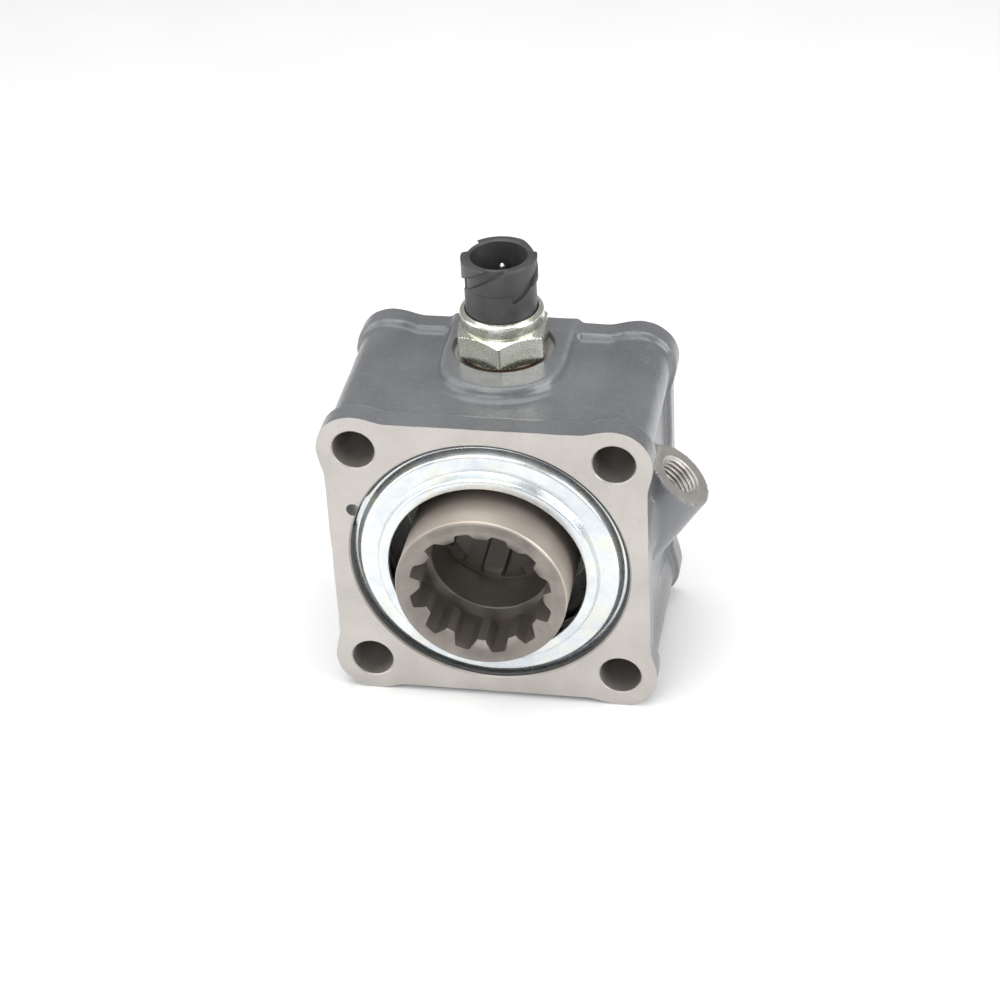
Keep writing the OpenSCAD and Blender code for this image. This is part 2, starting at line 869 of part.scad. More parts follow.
module bearing_cage() {
    color([0.72, 0.56, 0.28])
        difference() {
            turned([
                [pitch_r - cage_half_t, bearing_mid_y - cage_half_w],
                [pitch_r + cage_half_t, bearing_mid_y - cage_half_w],
                [pitch_r + cage_half_t, bearing_mid_y + cage_half_w],
                [pitch_r - cage_half_t, bearing_mid_y + cage_half_w]
            ]);
            at_balls()
                cylinder(h = 3 * ball_r, r = race_r + race_gap, center = true);
        }
}

module shaft_seal() {
    out = bearing_out_r - fit_gap;
    lip = bearing_in_r + 0.05;
    color([0.12, 0.12, 0.13])
        turned([
            [out, seal_y],
            [out, seal_y + seal_w - 0.5],
            [out - 0.5, seal_y + seal_w],
            [lip + 2.2, seal_y + seal_w],
            [lip + 1, seal_y + seal_w - 1],
            [lip, seal_y + 3],
            [lip + 0.9, seal_y + 0.8],
            [lip + 2.6, seal_y + 0.8],
            [lip + 2.6, seal_y + 3.6],
            [lip + 3.4, seal_y + seal_w - 1.8],
            [out - 1.6, seal_y + seal_w - 1.8],
            [out - 1.6, seal_y]
        ]);
}

module seal_garter_spring() {
    cord = 0.75;
    color([0.60, 0.61, 0.62])
        on_shaft(seal_y + 2.2)
            rotate_extrude()
                translate([bearing_in_r + 2.65 + cord + fit_gap, 0])
                    circle(cord);
}

module switch_body() {
    corner_r = hex_af / sqrt(3);
    slope = tan(30);
    color([0.66, 0.68, 0.60])
        on_switch()
            difference() {
                union() {
                    intersection() {
                        translate([0, 0, hex_z])
                            rotate(hex_turn - 90)
                                cylinder(h = hex_h, r = corner_r, $fn = 6);
                        rotate_extrude()
                            polygon([
                                [0, hex_z],
                                [hex_af / 2 - 0.3, hex_z],
                                [corner_r + over, hex_z + (corner_r + over - hex_af / 2 + 0.3) * slope],
                                [corner_r + over, collar_z - (corner_r + over - hex_af / 2 + 0.6) * slope],
                                [hex_af / 2 - 0.6, collar_z],
                                [0, collar_z]
                            ]);
                    }
                    rotate_extrude()
                        polygon([
                            [0, collar_z - over],
                            [collar_r - 0.5, collar_z - over],
                            [collar_r - 0.5, collar_z + 0.6],
                            [collar_r, collar_z + 1.1],
                            [collar_r, socket_z - 1],
                            [collar_r - 0.35, socket_z - 0.35],
                            [collar_r - 1, socket_z],
                            [0, socket_z]
                        ]);
                    rotate_extrude()
                        polygon([
                            [0, shank_end_z],
                            [nose_shank_r - 0.4, shank_end_z],
                            [nose_shank_r, shank_end_z + 0.4],
                            [nose_shank_r, shank_step_z],
                            [shank_r - 0.8, shank_step_z],
                            [shank_r, shank_step_z + 0.8],
                            [shank_r, hex_z],
                            [0, hex_z]
                        ]);
                }
                rotate_extrude()
                    polygon([
                        [0, shank_end_z - over],
                        [guide_r - 0.18, shank_end_z - over],
                        [guide_r - 0.18, shank_end_z + 0.2],
                        [guide_r, shank_end_z + 0.5],
                        [guide_r, guide_top_z],
                        [socket_base_r + 0.95, guide_top_z + 0.5],
                        [socket_base_r + 0.95, socket_z - 0.9],
                        [socket_base_r + 0.05, socket_z - 0.9],
                        [socket_base_r + 0.05, socket_z + over],
                        [0, socket_z + over]
                    ]);
            }
}

module switch_sealing_washer() {
    color([0.60, 0.38, 0.26])
        on_switch(spot_z)
            difference() {
                cylinder(h = washer_t, r = hex_af / 2 - 0.3);
                translate([0, 0, -over])
                    cylinder(h = washer_t + 2 * over, r = shank_r + 0.1);
            }
}

module switch_ball() {
    color([0.80, 0.81, 0.83])
        on_switch(tip_z)
            sphere(tip_ball_r);
}

module switch_plunger() {
    color([0.78, 0.62, 0.30])
        on_switch()
            rotate_extrude()
                polygon([
                    [0, plunger_z],
                    [guide_r - 0.4, plunger_z],
                    [guide_r - 0.1, plunger_z + 0.3],
                    [guide_r - 0.1, plunger_head_z],
                    [1.4, plunger_head_z],
                    [1.4, plunger_head_z + 3],
                    [1.1, plunger_head_z + 3.3],
                    [0, plunger_head_z + 3.3]
                ]);
}

module switch_spring() {
    start = plunger_head_z + fit_gap;
    color([0.62, 0.63, 0.65])
        on_switch(start)
            helix_wire(guide_r - 1.1, 0.7, 4.5, guide_top_z + 0.5 - start, 6, 12);
}

// One bayonet groove: a slanted slab that leaves the inner tube whole
module bayonet_groove() {
    difference() {
        translate([bayonet_r / 2, 0, socket_top_z - groove_drop])
            rotate([groove_slant, 0, 0])
                translate([0, -bayonet_r * 2, -groove_w / 2])
                    cube([bayonet_r, bayonet_r * 4, groove_w]);
        translate([0, 0, socket_z])
            cylinder(h = 2 * socket_h, r = socket_r);
    }
}

module switch_socket() {
    color([0.13, 0.13, 0.14])
        on_switch()
            difference() {
                rotate_extrude()
                    polygon([
                        [0, guide_top_z + 0.6],
                        [socket_base_r + 0.9, guide_top_z + 0.6],
                        [socket_base_r + 0.9, socket_z - 1],
                        [socket_base_r, socket_z - 0.95],
                        [socket_base_r, band_z],
                        [bayonet_r, band_z + 0.2],
                        [bayonet_r, socket_top_z - 0.4],
                        [bayonet_r - 0.4, socket_top_z],
                        [0, socket_top_z]
                    ]);
                for (k = [0:2])
                    rotate(120 * k)
                        bayonet_groove();
                translate([0, 0, socket_floor_z])
                    cylinder(h = socket_h, r = socket_in_r);
                at_pins()
                    cylinder(h = socket_top_z - guide_top_z, r = pin_r + fit_gap);
                translate([0, 0, guide_top_z])
                    cylinder(h = 2.4, r = 2.4);
            }
}

// Copies a shape to both contact pins
module at_pins() {
    for (side = [-1, 1])
        translate([0, side * pin_pitch / 2, pin_foot_z])
            children();
}

module switch_pins() {
    length = socket_top_z - pin_drop - pin_foot_z;
    color([0.80, 0.70, 0.45])
        on_switch()
            at_pins() {
                cylinder(h = length - 0.8, r = pin_r);
                translate([0, 0, length - 0.8])
                    cylinder(h = 0.8, r1 = pin_r, r2 = pin_r * 0.5);
            }
}

housing();
front_cover();
cover_wire_ring();
return_spring();
piston();
land_seal_ring();
skirt_seal_ring();
coupling_hub();
hub_retaining_ring();
bearing_inner_ring();
bearing_outer_ring();
bearing_balls();
bearing_cage();
bearing_front_shield();
bearing_rear_shield();
bearing_retaining_ring();
shaft_seal();
seal_garter_spring();
switch_body();
switch_sealing_washer();
switch_ball();
switch_plunger();
switch_spring();
switch_socket();
switch_pins();
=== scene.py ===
import math

import bpy
import numpy as np
from mathutils import Matrix, Vector


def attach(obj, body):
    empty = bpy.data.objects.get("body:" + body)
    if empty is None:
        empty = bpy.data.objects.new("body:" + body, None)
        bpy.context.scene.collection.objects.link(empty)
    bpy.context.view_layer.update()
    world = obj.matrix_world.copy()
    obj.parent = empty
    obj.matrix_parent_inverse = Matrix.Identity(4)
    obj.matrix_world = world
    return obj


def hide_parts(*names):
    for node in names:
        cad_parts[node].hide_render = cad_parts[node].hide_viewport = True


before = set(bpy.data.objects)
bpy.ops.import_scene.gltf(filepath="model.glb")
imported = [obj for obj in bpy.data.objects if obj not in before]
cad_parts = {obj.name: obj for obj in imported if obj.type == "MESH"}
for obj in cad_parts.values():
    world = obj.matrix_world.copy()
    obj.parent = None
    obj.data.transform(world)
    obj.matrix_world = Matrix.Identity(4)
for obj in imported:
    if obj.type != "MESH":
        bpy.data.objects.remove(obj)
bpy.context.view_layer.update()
MM = 0.001

# Sizes shared by several pieces, in millimetres
REAR_Y = 64.5
BOLT_AT = 40.0
BOLT_R = 6.6
FRONT_BORE_R = 44.0
SKIRT_BORE_R = 39.5
PILOT_R = 40.0
HUB_FRONT_Y = -16.0
HUB_REAR_Y = 54.0
HUB_R = 26.7
SPLINE_PHASE = math.radians(12)
SEAT_Z = 49.4
SEAT_R = 16.0
HEX_Z = 50.9
COLLAR_Z = 60.5
SOCKET_R = 11.2
SOCKET_TOP_Z = 84.0
PIN_OFFSETS = (-4.5, 4.5)
FLOOR_Z = -51.75
FLANGE_T = 8.3
SPARE = 2.0
THREAD_PITCH = 1.5

# Mesh helpers


def shade(mesh, sharp):
    """Smooth shading, except at edges sharper than an angle in degrees."""
    mesh.polygons.foreach_set("use_smooth", [True] * len(mesh.polygons))
    mesh.set_sharp_from_angle(angle=math.radians(sharp))


def make_object(name, verts, faces, sharp=32):
    """A mesh object from millimetre points and faces, shaded smooth except at sharp corners."""
    mesh = bpy.data.meshes.new(name)
    points = [tuple(float(c) * MM for c in v) for v in verts]
    mesh.from_pydata(points, [], [tuple(int(i) for i in f) for f in faces])
    mesh.update()
    shade(mesh, sharp)
    obj = bpy.data.objects.new(name, mesh)
    bpy.context.scene.collection.objects.link(obj)
    return obj


def rounded(points, steps=4):
    """A closed outline of (a, b) or (a, b, radius) corners, with the named corners rounded."""
    out = []
    count = len(points)
    for i, p in enumerate(points):
        if len(p) < 3 or p[2] <= 0:
            out.append((p[0], p[1]))
            continue
        c = np.array(p[:2], float)
        u = np.array(points[i - 1][:2], float) - c
        v = np.array(points[(i + 1) % count][:2], float) - c
        lu, lv = np.linalg.norm(u), np.linalg.norm(v)
        u, v = u / lu, v / lv
        half = math.acos(max(-1, min(1, float(u @ v)))) / 2
        run = min(p[2] / math.tan(half), lu * 0.49, lv * 0.49)
        r = run * math.tan(half)
        mid = c + (u + v) / np.linalg.norm(u + v) * (r / math.sin(half))
        a0 = math.atan2(*(c + u * run - mid)[::-1])
        a1 = math.atan2(*(c + v * run - mid)[::-1])
        turn = (a1 - a0 + math.pi) % (2 * math.pi) - math.pi
        for k in range(steps + 1):
            a = a0 + turn * k / steps
            out.append((mid[0] + r * math.cos(a), mid[1] + r * math.sin(a)))
    return out


def beside_shaft(cx, cz):
    """Places (radius, angle, y) round an axis beside the shaft's and parallel to it."""
    return lambda r, a, y: (cx + r * math.cos(a), y, cz + r * math.sin(a))


def on_upright(cx, cy):
    """Places (radius, angle, z) round an upright axis."""
    return lambda r, a, z: (cx + r * math.cos(a), cy + r * math.sin(a), z)


on_shaft = beside_shaft(0, 0)


def turn_ring(place, r, height, n, start=0.0):
    """One ring of n points at a radius and height."""
    return [place(r, 2 * math.pi * k / n + start, height) for k in range(n)]


def lathe_ring(name, outline, place=on_shaft, n=192, sharp=32):
    """A closed outline of (radius, height) turned right round."""
    m = len(outline)
    verts = [place(r, 2 * math.pi * k / n, h) for k in range(n) for r, h in outline]
    faces = [
        (k * m + i, k * m + (i + 1) % m, (k + 1) % n * m + (i + 1) % m, (k + 1) % n * m + i)
        for k in range(n)
        for i in range(m)
    ]
    return make_object(name, verts, orient(verts, faces), sharp=sharp)


def loft(name, rings, sharp=32):
    """A closed solid through rings of equally many points, with flat ends."""
    n = len(rings[0])
    verts = [p for ring in rings for p in ring]
    faces = [
        (j * n + i, j * n + (i + 1) % n, (j + 1) * n + (i + 1) % n, (j + 1) * n + i)
        for j in range(len(rings) - 1)
        for i in range(n)
    ]
    faces.append(tuple(range(n - 1, -1, -1)))
    faces.append(tuple((len(rings) - 1) * n + i for i in range(n)))
    return make_object(name, verts, orient(verts, faces), sharp=sharp)


def orient(verts, faces):
    """Turns all faces over if the closed mesh is inside out."""
    v = np.array(verts, float)
    total = 0.0
    for f in faces:
        for i in range(1, len(f) - 1):
            total += float(np.dot(v[f[0]], np.cross(v[f[i]], v[f[i + 1]])))
    return faces if total > 0 else [tuple(reversed(f)) for f in faces]


def lathe_solid(name, profile, place=on_shaft, n=128, sharp=32):
    """A solid of revolution from an open run of (radius, height) points, flat at both ends."""
    return loft(name, [turn_ring(place, r, h, n) for r, h in profile], sharp)


def box_solid(name, lo, hi):
    """A box between two corners."""
    ring = [(lo[0], lo[1]), (hi[0], lo[1]), (hi[0], hi[1]), (lo[0], hi[1])]
    return loft(name, [[(x, y, z) for x, y in ring] for z in (lo[2], hi[2])])


def cut(obj, tool):
    """Cuts a tool out of a solid, and removes the tool."""
    mod = obj.modifiers.new("cut", "BOOLEAN")
    mod.operation = "DIFFERENCE"
    mod.solver = "MANIFOLD"
    mod.object = tool
    dg = bpy.context.evaluated_depsgraph_get()
    done = bpy.data.meshes.new_from_object(obj.evaluated_get(dg))
    obj.modifiers.remove(mod)
    old = obj.data
    obj.data = done
    bpy.data.meshes.remove(old)
    bpy.data.objects.remove(tool)
    return obj


def polish(obj, sharp):
    shade(obj.data, sharp)
    return obj


def surface_nets(field, origin, step):
    """Vertices and quads of the zero surface of a sampled distance field."""
    inside = field < 0
    corners = np.zeros(tuple(s - 1 for s in field.shape), np.int8)
    for dx in (0, 1):
        for dy in (0, 1):
            for dz in (0, 1):
                ends = [n - 1 + d for n, d in zip(field.shape, (dx, dy, dz))]
                corners += inside[dx:ends[0], dy:ends[1], dz:ends[2]]
    i, j, k = np.nonzero((corners > 0) & (corners < 8))
    total = np.zeros((len(i), 3))
    count = np.zeros(len(i))
    for axis in range(3):
        for b in (0, 1):
            for c in (0, 1):
                off = [b, c]
                off.insert(axis, 0)
                end = list(off)
                end[axis] = 1
                v0 = field[i + off[0], j + off[1], k + off[2]]
                v1 = field[i + end[0], j + end[1], k + end[2]]
                hit = (v0 < 0) != (v1 < 0)
                t = np.where(hit, v0 / np.where(hit, v0 - v1, 1), 0)
                point = np.tile(np.array(off, float), (len(i), 1))
                point[:, axis] += t
                total += point * hit[:, None]
                count += hit
    verts = (np.stack([i, j, k], 1) + total / count[:, None]) * step + origin
    ids = -np.ones(corners.shape, np.int64)
    ids[i, j, k] = np.arange(len(i))
    quads = []
    for axis in range(3):
        lo = [slice(1, -1)] * 3
        hi = [slice(1, -1)] * 3
        lo[axis] = slice(0, -1)
        hi[axis] = slice(1, None)
        a, b = inside[tuple(lo)], inside[tuple(hi)]
        start = [1, 1, 1]
        start[axis] = 0
        u, v = [x for x in range(3) if x != axis]
        for sign in (True, False):
            at = np.stack(np.nonzero((a != b) & (a == sign)), 1) + start
            ring = []
            for du, dv in ((-1, -1), (0, -1), (0, 0), (-1, 0)):
                c = at.copy()
                c[:, u] += du
                c[:, v] += dv
                ring.append(ids[c[:, 0], c[:, 1], c[:, 2]])
            ring = np.stack(ring, 1)
            if (axis == 1) == sign:
                ring = ring[:, ::-1]
            quads.append(ring)
    return verts, np.concatenate(quads)


# Materials


class Nodes:
    """A short way to write a procedural material."""

    def __init__(self, name):
        self.mat = bpy.data.materials.new(name)
        self.mat.use_nodes = True
        self.tree = self.mat.node_tree
        self.tree.nodes.clear()
        self.out = self.tree.nodes.new("ShaderNodeOutputMaterial")
        self.bsdf = self.tree.nodes.new("ShaderNodeBsdfPrincipled")
        self.tree.links.new(self.bsdf.outputs[0], self.out.inputs[0])
        self.coords = self.tree.nodes.new("ShaderNodeTexCoord").outputs["Object"]

    def add(self, kind, links=(), **values):
        node = self.tree.nodes.new(kind)
        for key, value in values.items():
            setattr(node, key, value)
        for index, source in links:
            self.tree.links.new(source, node.inputs[index])
        return node

    def noise(self, scale, detail=4, rough=0.55, warp=0.0):
        node = self.add("ShaderNodeTexNoise", [(0, self.coords)])
        node.inputs["Scale"].default_value = scale
        node.inputs["Detail"].default_value = detail
        node.inputs["Roughness"].default_value = rough
        node.inputs["Distortion"].default_value = warp
        return node.outputs[0]

    def ramp(self, source, low, high):
        """Grey values between two (position, value) stops."""
        node = self.add("ShaderNodeValToRGB", [(0, source)])
        for stop, (at, value) in zip(node.color_ramp.elements, (low, high)):
            stop.position = at
            stop.color = (value, value, value, 1)
        return node.outputs[0]

    def mix(self, factor, a, b):
        """Colour a where the factor is 0 and b where it is 1."""
        node = self.tree.nodes.new("ShaderNodeMix")
        node.data_type = "RGBA"
        node.clamp_factor = True
        self.tree.links.new(factor, node.inputs[0])
        for index, colour in ((6, a), (7, b)):
            if isinstance(colour, tuple):
                node.inputs[index].default_value = (*colour, 1)
            else:
                self.tree.links.new(colour, node.inputs[index])
        return node.outputs[2]

    def maths(self, how, a, b=0.0):
        node = self.tree.nodes.new("ShaderNodeMath")
        node.operation = how
        for index, value in ((0, a), (1, b)):
            if isinstance(value, (int, float)):
                node.inputs[index].default_value = value
            else:
                self.tree.links.new(value, node.inputs[index])
        return node.outputs[0]

    def weigh(self, a, share_a, b, share_b):
        """Sum of two values, each times its share."""
        return self.maths("ADD", self.maths("MULTIPLY", a, share_a), self.maths("MULTIPLY", b, share_b))

    def distance(self, a, b):
        """Length of the vector (a, b)."""
        squares = self.maths("ADD", self.maths("MULTIPLY", a, a), self.maths("MULTIPLY", b, b))
        return self.maths("SQRT", squares)

    def split(self):
        node = self.add("ShaderNodeSeparateXYZ", [(0, self.coords)])
        return node.outputs[0], node.outputs[1], node.outputs[2]

    def attribute(self, name):
        return self.add("ShaderNodeAttribute", attribute_name=name).outputs["Fac"]

    def bump(self, height, distance, strength):
        node = self.add("ShaderNodeBump")
        node.inputs["Strength"].default_value = strength
        node.inputs["Distance"].default_value = distance
        self.tree.links.new(height, node.inputs["Height"])
        return node.outputs[0]

    def finish(self, colour, rough, metallic, normal, coat=0.0, coat_rough=0.1, spec=0.5):
        sockets = self.bsdf.inputs
        self.tree.links.new(colour, sockets["Base Color"])
        if isinstance(rough, float):
            sockets["Roughness"].default_value = rough
        else:
            self.tree.links.new(rough, sockets["Roughness"])
        sockets["Metallic"].default_value = metallic
        sockets["Coat Weight"].default_value = coat
        sockets["Coat Roughness"].default_value = coat_rough
        sockets["Specular IOR Level"].default_value = spec
        self.tree.links.new(normal, sockets["Normal"])
        return self.mat


def scaled(tint, factor):
    return tuple(c * factor for c in tint)


def cast_paint():
    m = Nodes("cast_paint")
    broad = m.noise(35, 3, 0.5)
    grain = m.noise(620, 4, 0.6)
    pits = m.noise(1900, 2, 0.5)
    wear = m.attribute("edge")
    rubbed = m.maths("MULTIPLY", wear, m.ramp(m.noise(160, 4, 0.65), (0.35, 0.2), (0.62, 1.0)))
    base = m.mix(m.ramp(broad, (0.3, 0.0), (0.7, 1.0)), (0.105, 0.109, 0.116), (0.150, 0.155, 0.163))
    dusty = m.mix(m.ramp(grain, (0.52, 0.0), (0.75, 0.35)), base, (0.20, 0.21, 0.22))
    worn = m.mix(m.maths("MULTIPLY", rubbed, 0.5), dusty, (0.34, 0.35, 0.36))
    rough = m.ramp(m.weigh(broad, 0.5, grain, 0.5), (0.3, 0.24), (0.7, 0.40))
    normal = m.bump(m.weigh(grain, 0.8, pits, 0.3), 0.00016, 0.75)
    return m.finish(worn, rough, 0.0, normal, coat=0.3, coat_rough=0.16, spec=0.6)


def milled_iron(name, tint, rough=(0.34, 0.50), arcs=True):
    """Machined iron, with the arcs of a face mill or the rings of a boring bar."""
    m = Nodes(name)
    x, y, z = m.split()
    patch = m.noise(45, 4, 0.6)
    fine = m.noise(900, 3, 0.6)
    if arcs:
        from_cutter = m.distance(m.maths("SUBTRACT", x, 0.11), m.maths("ADD", z, 0.35))
        lay = m.maths("SINE", m.maths("MULTIPLY", from_cutter, 9000.0))
    else:
        lay = m.maths("SINE", m.maths("MULTIPLY", y, 14000.0))
    colour = m.mix(m.ramp(patch, (0.35, 0.0), (0.7, 1.0)), scaled(tint, 0.80), tint)
    specks = m.ramp(m.noise(1400, 2, 0.5), (0.66, 0.0), (0.74, 0.55))
    colour = m.mix(specks, colour, (0.16, 0.13, 0.11))
    shine = m.ramp(m.weigh(patch, 0.6, fine, 0.4), (0.35, rough[0]), (0.65, rough[1]))
    return m.finish(colour, shine, 0.85, m.bump(m.weigh(lay, 0.12, fine, 1.0), 0.00002, 0.6))


def zinc_sheet():
    m = Nodes("zinc_sheet")
    cloud = m.noise(70, 4, 0.55, warp=0.6)
    streak = m.noise(260, 3, 0.6)
    fine = m.noise(1500, 2, 0.5)
    cool = m.mix(m.ramp(cloud, (0.35, 0.0), (0.65, 1.0)), (0.62, 0.67, 0.71), (0.78, 0.81, 0.81))
    yellow = m.ramp(m.noise(110, 3, 0.5, warp=1.2), (0.52, 0.0), (0.68, 0.6))
    warm = m.mix(yellow, cool, (0.78, 0.76, 0.63))
    rough = m.ramp(streak, (0.3, 0.22), (0.7, 0.38))
    return m.finish(warm, rough, 0.82, m.bump(m.weigh(streak, 1.0, fine, 0.3), 0.00005, 0.35))


def turned_steel(name, tint, rough, pitch=12000.0, stain=0.35, metallic=0.95, bore=None, shell=None):
    """Turned steel; bore is (radius, y, factor) of painted shade inside the bore, shell is (radius, tint) of
    the outside.
    """
    m = Nodes(name)
    x, y, z = m.split()
    r = m.distance(x, z)
    lay = m.maths("SINE", m.maths("MULTIPLY", m.maths("ADD", y, m.maths("MULTIPLY", r, 0.7)), pitch))
    patch = m.noise(90, 4, 0.6)
    fine = m.noise(1300, 3, 0.6)
    colour = m.mix(m.ramp(patch, (0.35, 0.0), (0.7, 1.0)), scaled(tint, 0.72), tint)
    stains = m.ramp(m.noise(230, 4, 0.65), (0.55, 0.0), (0.75, stain))
    colour = m.mix(stains, colour, scaled(tint, 0.45))
    # Painted shade: inside the radius and behind the given y, the colour is darkened by the factor to stand
    # in for the shadow in the bore.
    if bore:
        bore_r, painted_shade_y, factor = bore
        behind = m.ramp(m.maths("MULTIPLY", m.maths("SUBTRACT", y, painted_shade_y), 500.0), (0.0, 0.0), (0.5, 1.0))
        inside = m.maths("MULTIPLY", m.maths("LESS_THAN", r, bore_r), behind)
        colour = m.mix(inside, colour, scaled(tint, factor))
    if shell:
        shell_r, shell_tint = shell
        colour = m.mix(m.maths("GREATER_THAN", r, shell_r), colour, shell_tint)
    shine = m.ramp(m.weigh(patch, 0.5, fine, 0.5), (0.35, rough[0]), (0.65, rough[1]))
    return m.finish(colour, shine, metallic, m.bump(m.weigh(lay, 0.25, fine, 0.7), 0.00002, 0.55))


def plated(name, dark, light, rough=(0.16, 0.32)):
    m = Nodes(name)
    cloud = m.noise(160, 4, 0.6, warp=0.5)
    fine = m.noise(1100, 3, 0.6)
    colour = m.mix(m.ramp(cloud, (0.38, 0.0), (0.66, 1.0)), dark, light)
    rough_map = m.ramp(fine, (0.3, rough[0]), (0.7, rough[1]))
    return m.finish(colour, rough_map, 1.0, m.bump(fine, 0.00001, 0.25))


def moulded(name, tint, rough, grain=1500, depth=0.00004, spec=0.5):
    m = Nodes(name)
    broad = m.noise(120, 3, 0.55)
    fine = m.noise(grain, 3, 0.6)
    colour = m.mix(m.ramp(broad, (0.35, 0.0), (0.7, 1.0)), scaled(tint, 0.75), scaled(tint, 1.25))
    scuffs = m.ramp(fine, (0.62, 0.0), (0.78, 0.3))
    colour = m.mix(scuffs, colour, tuple(min(1, c * 2.4 + 0.02) for c in tint))
    shine = m.ramp(m.weigh(broad, 0.5, fine, 0.5), (0.35, rough[0]), (0.65, rough[1]))
    return m.finish(colour, shine, 0.0, m.bump(fine, depth, 0.5), spec=spec)


PAINT = cast_paint()
FACE = milled_iron("milled_face", (0.58, 0.55, 0.515))
BORE = milled_iron("bored_iron", (0.50, 0.47, 0.44), (0.32, 0.48), arcs=False)
DRILLED = milled_iron("drilled_iron", (0.55, 0.52, 0.49), (0.42, 0.60), arcs=False)
ZINC = zinc_sheet()
# The hub's bore gets painted shade: its colour is darkened behind the lead-in for the shadow inside it.
HUB = turned_steel(
    "hub_steel", (0.31, 0.28, 0.25), (0.38, 0.54), metallic=0.75, bore=(0.0229, -0.0136, 0.8),
    shell=(0.0264, (0.50, 0.44, 0.385)))
WIRE = turned_steel("dark_wire", (0.10, 0.10, 0.10), (0.30, 0.45), 4000.0, 0.2)
SPRING = turned_steel("spring_steel", (0.35, 0.35, 0.36), (0.28, 0.42), 6000.0, 0.2)
GROUND = turned_steel("ground_steel", (0.62, 0.63, 0.65), (0.14, 0.24), 15000.0, 0.1)
BLACK = turned_steel("blackened_steel", (0.09, 0.09, 0.10), (0.32, 0.46), 6000.0, 0.2)
SHIELD = turned_steel("shield_steel", (0.52, 0.52, 0.49), (0.34, 0.48), 9000.0, 0.2, metallic=0.7)
ALU = turned_steel("piston_aluminium", (0.66, 0.67, 0.68), (0.24, 0.36), 10000.0, 0.15)
PLATED = plated("yellow_zinc", (0.72, 0.73, 0.61), (0.86, 0.87, 0.80))
COPPER = plated("washer_copper", (0.17, 0.12, 0.09), (0.26, 0.18, 0.13), (0.40, 0.55))
BRASS = plated("turned_brass", (0.60, 0.44, 0.20), (0.74, 0.58, 0.30), (0.2, 0.35))
PIN = plated("contact_plate", (0.80, 0.78, 0.70), (0.92, 0.90, 0.84), (0.12, 0.22))
RUBBER = moulded("seal_rubber", (0.018, 0.018, 0.019), (0.45, 0.60))
PLASTIC = moulded("socket_plastic", (0.046, 0.045, 0.046), (0.36, 0.52), 1300, 0.00005, 0.6)


def dress(obj, body, mat, slot, *nodes):
    """Gives a piece its material and body, and hides the nodes that it replaces; the slot is not used."""
    obj.data.materials.clear()
    obj.data.materials.append(mat)
    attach(obj, body)
    if nodes:
        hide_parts(*nodes)
    return obj


# Housing casting

PORT = np.array([57.4, 21.5, 23.4])
LEAN = math.radians(48)
PORT_N = np.array([math.cos(LEAN), 0, math.sin(LEAN)])
PORT_U = np.array([0, 1.0, 0])
PORT_V = np.cross(PORT_N, PORT_U)
SWITCH = (-1.0, 46.0)


def join_round(a, b, r):
    """Union of two distances with a fillet of radius r."""
    return np.maximum(r, np.minimum(a, b)) - np.hypot(np.maximum(r - a, 0), np.maximum(r - b, 0))


def cross_round(a, b, r):
    """Crossing of two distances with an edge of radius r."""
    return np.minimum(-r, np.maximum(a, b)) + np.hypot(np.maximum(r + a, 0), np.maximum(r + b, 0))


def slab_gap(a, b):
    """Distance to the corner of two half planes, round outside."""
    return np.hypot(np.maximum(a, 0), np.maximum(b, 0)) + np.minimum(np.maximum(a, b), 0)


def ear_plan(x, z, half, ear):
    """Distance to a square of four round ears at the bolts, with straight sides between them."""
    ax, az = np.abs(x), np.abs(z)
    edge = np.minimum(slab_gap(ax - half, az - BOLT_AT), slab_gap(ax - BOLT_AT, az - half))
    return join_round(edge, np.hypot(ax - BOLT_AT, az - BOLT_AT) - ear, 2.6)


LATTICE = np.random.default_rng(7).random((24, 24, 24)).astype(np.float32)


def lumps(x, y, z, cell):
    """Smooth random values between 0 and 1, with one lattice point for each cell."""
    out = 0.0
    at = [np.asarray(c, np.float32) / cell + 50 for c in (x, y, z)]
    base = [np.floor(c).astype(np.int32) for c in at]
    frac = [(c - b) * (c - b) * (3 - 2 * (c - b)) for c, b in zip(at, base)]
    for i in (0, 1):
        for j in (0, 1):
            for k in (0, 1):
                w = [f if o else 1 - f for f, o in zip(frac, (i, j, k))]
                spot = tuple((b + o) % 24 for b, o in zip(base, (i, j, k)))
                out = out + w[0] * w[1] * w[2] * LATTICE[spot]
    return out


def casting_field(x, y, z):
    """Distance to the unmachined casting, whose faces stand 2 mm proud of the machined planes."""
    front = cross_round(ear_plan(x, z, 50, 11.75), np.maximum(y - FLANGE_T, -SPARE - y), 0.9)
    rear = cross_round(ear_plan(x, z, 50, 11.75), np.maximum(REAR_Y - 7 - y, y - (REAR_Y + SPARE)), 0.9)
    waist = np.maximum(ear_plan(x, z, 48, 10), np.maximum(5 - y, y - 60))
    body = join_round(join_round(front, waist, 1.9), rear, 1.9)
    nose = np.where(y < 41.8, np.hypot(x, y - 41.8) - 22, np.abs(x) - 22)
    plan = cross_round(np.abs(x) - 20 - (51.8 - z) * 0.04, nose - (51.8 - z) * 0.06, 4.0)
    boss = cross_round(np.maximum(plan, y - 64.4), z - 51.8, 1.5)
    body = join_round(body, np.maximum(boss, 30 - z), 3.2)
    px, py, pz = x - PORT[0], y - PORT[1], z - PORT[2]
    t = px * PORT_N[0] + pz * PORT_N[2]
    rho = np.hypot(py, px * PORT_V[0] + pz * PORT_V[2])
    cone = cross_round((rho - (11.6 - 0.12 * t)) * 0.993, t, 0.35)
    body = join_round(body, np.maximum(cone, -26 - t), 3.5)
    return body + 0.16 * lumps(x, y, z, 7.3) + 0.09 * lumps(x, y, z, 2.6)


def slope(points, e):
    """Gradient of the casting's field at points, over a distance e each way."""
    columns = []
    for axis in np.eye(3):
        ahead, behind = casting_field(*(points + e * axis).T), casting_field(*(points - e * axis).T)
        columns.append((ahead - behind) / (2 * e))
    return np.stack(columns, 1)


